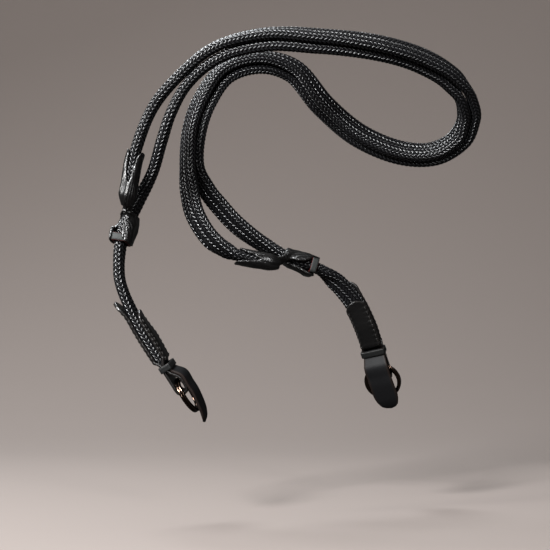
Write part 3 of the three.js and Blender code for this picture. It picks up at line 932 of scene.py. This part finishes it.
for rows, nose in ((SLEEVE_1_ROWS, (0.97, 0.84, 0.66, 0.5)), (SLEEVE_2_ROWS, (0.98, 0.9, 0.76, 0.6))):
    for side in rows:
        rows[side] += [(at, 3.8, 6, 6, 1, squeeze) for at, squeeze in zip((0, 2.2, 4, 5.5), nose)]

band_inside = ROPE_THICKNESS / 2 + CLEARANCE + BAND_SLACK
for number, end, host, sleeve_rows, lobe_rows, neck_sizes in (
    (1, slider_1_end, slider_1_host, SLEEVE_1_ROWS, LOBE_1_ROWS, (2.6, 2.4, 2.8, 1.2, -1.6)),
    (2, slider_2_end, slider_2_host, SLEEVE_2_ROWS, LOBE_2_ROWS, (3.2, 3.2, 3, 1.4, 0.6)),
):
    pieces[f"slider_{number}"] = slider(number, end, host, sleeve_rows, lobe_rows, neck_sizes)
    pieces[f"slider_{number}_keeper"] = band_mesh(
        f"slider_{number}_band",
        host,
        BAND_INSET,
        -band_inside,
        band_inside,
        ROPE_WIDTH / 2 + CLEARANCE + BAND_SLACK,
        f"slider_{number}_keeper",
        KEEPER_THICKNESS,
    )

# %% [markdown]
# Finishes. The braid is black nylon: nearly black, but each float has a cool glint where it faces the light,
# so its roughness is low and a fine bump draws its threads. The leather is black with a satin top and a fine
# grain; its cut edges are painted near black, dark red on the slider bands. The rings are blackened steel.

# %% Materials
def new_material(name):
    material = bpy.data.materials.new(name)
    material.use_nodes = True
    nodes = material.node_tree.nodes
    return material, nodes, material.node_tree.links, nodes["Principled BSDF"]


def add_bump(nodes, links, shader, height, strength, distance):
    bump = nodes.new("ShaderNodeBump")
    bump.inputs["Strength"].default_value = strength
    bump.inputs["Distance"].default_value = distance
    links.new(height, bump.inputs["Height"])
    links.new(bump.outputs["Normal"], shader.inputs["Normal"])


def braid_material():
    material, nodes, links, shader = new_material("black_nylon_braid")
    shader.inputs["Base Color"].default_value = (0.005, 0.005, 0.006, 1)
    shader.inputs["Roughness"].default_value = 0.33
    shader.inputs["Specular IOR Level"].default_value = 0.85
    lay = nodes.new("ShaderNodeUVMap")
    lay.uv_map = "thread"
    threads = nodes.new("ShaderNodeTexWave")
    threads.bands_direction = "X"
    threads.inputs["Scale"].default_value = 2.2
    threads.inputs["Distortion"].default_value = 1.2
    links.new(lay.outputs["UV"], threads.inputs["Vector"])
    add_bump(nodes, links, shader, threads.outputs["Fac"], 0.35, 0.00012)
    return material


def painted_shade_gap_material():
    """Painted shade in the gaps between the floats: darker and hardly shiny, it stands in for the shade there.
    """
    material, _, _, shader = new_material("braid_gap_painted_shade")
    shader.inputs["Base Color"].default_value = (0.0015, 0.0015, 0.0018, 1)
    shader.inputs["Roughness"].default_value = 0.9
    shader.inputs["Specular IOR Level"].default_value = 0.08
    return material


def leather_material(name, colour, edge_colour, roughness, bump, specular):
    material, nodes, links, shader = new_material(name)
    shader.inputs["Roughness"].default_value = roughness
    shader.inputs["Specular IOR Level"].default_value = specular
    edge = nodes.new("ShaderNodeAttribute")
    edge.attribute_name = "cut_edge"
    mix = nodes.new("ShaderNodeMix")
    mix.data_type = "RGBA"
    mix.inputs["A"].default_value = (*colour, 1)
    mix.inputs["B"].default_value = (*edge_colour, 1)
    links.new(edge.outputs["Fac"], mix.inputs["Factor"])
    links.new(mix.outputs["Result"], shader.inputs["Base Color"])
    place = nodes.new("ShaderNodeTexCoord")
    grain = nodes.new("ShaderNodeTexVoronoi")
    grain.inputs["Scale"].default_value = 900
    links.new(place.outputs["Object"], grain.inputs["Vector"])
    add_bump(nodes, links, shader, grain.outputs["Distance"], bump, 0.00025)
    return material


def plain_material(name, colour, roughness, metallic=0.0):
    material, _, _, shader = new_material(name)
    shader.inputs["Base Color"].default_value = (*colour, 1)
    shader.inputs["Roughness"].default_value = roughness
    shader.inputs["Metallic"].default_value = metallic
    return material


braid_materials = (braid_material(), painted_shade_gap_material())
BLACK_EDGE = (0.006, 0.005, 0.0046)
BROWN_EDGE = (0.009, 0.006, 0.005)
RED_EDGE = (0.05, 0.003, 0.002)
leather = leather_material("black_leather", (0.0022, 0.002, 0.002), BLACK_EDGE, 0.32, 0.3, 0.65)
guard_leather = leather_material("smooth_guard_leather", (0.0045, 0.0045, 0.005), BROWN_EDGE, 0.55, 0.15, 0.12)
band_leather = leather_material("grey_band_leather", (0.008, 0.0095, 0.009), RED_EDGE, 0.6, 0.15, 0.32)
keeper_leather = leather_material("dark_keeper_leather", (0.005, 0.0053, 0.0053), BLACK_EDGE, 0.5, 0.3, 0.28)
blackened_steel = plain_material("blackened_steel", (0.1, 0.066, 0.05), 0.16, 1.0)
thread_material = plain_material("waxed_thread", (0.02, 0.0185, 0.017), 0.35)

for rope in (rope_left, rope_right):
    for material in braid_materials:
        rope.data.materials.append(material)
for name, piece in pieces.items():
    if "thread" in name:
        chosen = thread_material
    elif "slider" in name and "keeper" in name:
        chosen = band_leather
    elif "keeper" in name:
        chosen = keeper_leather
    elif "guard" in name:
        chosen = guard_leather
    elif "ring" in name:
        chosen = blackened_steel
    else:
        chosen = leather
    piece.data.materials.clear()
    piece.data.materials.append(chosen)

# %% [markdown]
# A black piece shows only what it reflects. So the key light is fairly small and stands high on the left, a
# little in front, where it draws a hard glint on every float that faces it and leaves the far side of each
# strand dark. A weak fill keeps the right side readable. The backdrop is one sheet that bends up behind the
# piece, so that no horizon line crosses the picture. The sheet is left out of the reflections: seen in the
# leather it would turn every black flat grey, and black is what the piece is about.

# %% Backdrop and lights
FLOOR = -254.5 * MM
BEND_START = 0.5
BEND_RADIUS = 1.2
SHEET_FRONT = -4
SHEET_TOP = 4
SHEET_HALF_WIDTH = 6


def backdrop_sheet():
    """One warm grey sheet: the floor, a wide bend and the wall."""
    profile = [(SHEET_FRONT, FLOOR)]
    for degrees in range(0, 91, 6):
        turn = math.radians(degrees)
        profile.append((BEND_START + BEND_RADIUS * math.sin(turn), FLOOR + BEND_RADIUS * (1 - math.cos(turn))))
    profile.append((BEND_START + BEND_RADIUS, SHEET_TOP))
    corners = [(x, y, z) for y, z in profile for x in (-SHEET_HALF_WIDTH, SHEET_HALF_WIDTH)]
    quads = [(2 * k, 2 * k + 1, 2 * k + 3, 2 * k + 2) for k in range(len(profile) - 1)]
    mesh = bpy.data.meshes.new("backdrop")
    mesh.from_pydata(corners, [], quads)
    mesh.polygons.foreach_set("use_smooth", [True] * len(mesh.polygons))
    sheet = bpy.data.objects.new("backdrop", mesh)
    bpy.context.collection.objects.link(sheet)
    sheet.data.materials.append(plain_material("warm_grey_backdrop", (0.19, 0.162, 0.148), 0.95))
    sheet.visible_glossy = False


def add_light(name, place, aim, size, power, colour=(1, 1, 1)):
    data = bpy.data.lights.new(name, "AREA")
    data.shape = "RECTANGLE"
    data.size, data.size_y = size
    data.energy = power
    data.color = colour
    lamp = bpy.data.objects.new(name, data)
    lamp.location = place
    lamp.rotation_euler = (Vector(aim) - Vector(place)).to_track_quat("-Z", "Y").to_euler()
    bpy.context.collection.objects.link(lamp)


backdrop_sheet()
add_light("key_upper_left", (-0.62, -0.92, 0.52), (-0.02, 0.02, -0.07), (0.26, 0.3), 42, (0.98, 0.99, 1))
add_light("left_strip", (-1.15, -0.5, 0.25), (-0.04, 0.02, -0.07), (0.15, 0.5), 14, (1, 0.99, 0.97))
add_light("top_left", (-0.45, 0.35, 0.8), (-0.02, 0.03, -0.05), (0.4, 0.3), 12, (0.93, 0.97, 1))
add_light("front_right", (0.35, -1.25, 0.4), (0, 0, -0.07), (0.2, 0.3), 8)
add_light("backdrop_wash", (0, 0.5, 2.2), (0, 1.7, 0.1), (2.5, 1), 9, (1, 0.97, 0.94))
world = bpy.data.worlds.new("room")
world.use_nodes = True
world.node_tree.nodes["Background"].inputs["Color"].default_value = (0.9, 0.88, 0.86, 1)
world.node_tree.nodes["Background"].inputs["Strength"].default_value = 0.05
bpy.context.scene.world = world
bpy.context.scene.view_settings.view_transform = "Standard"
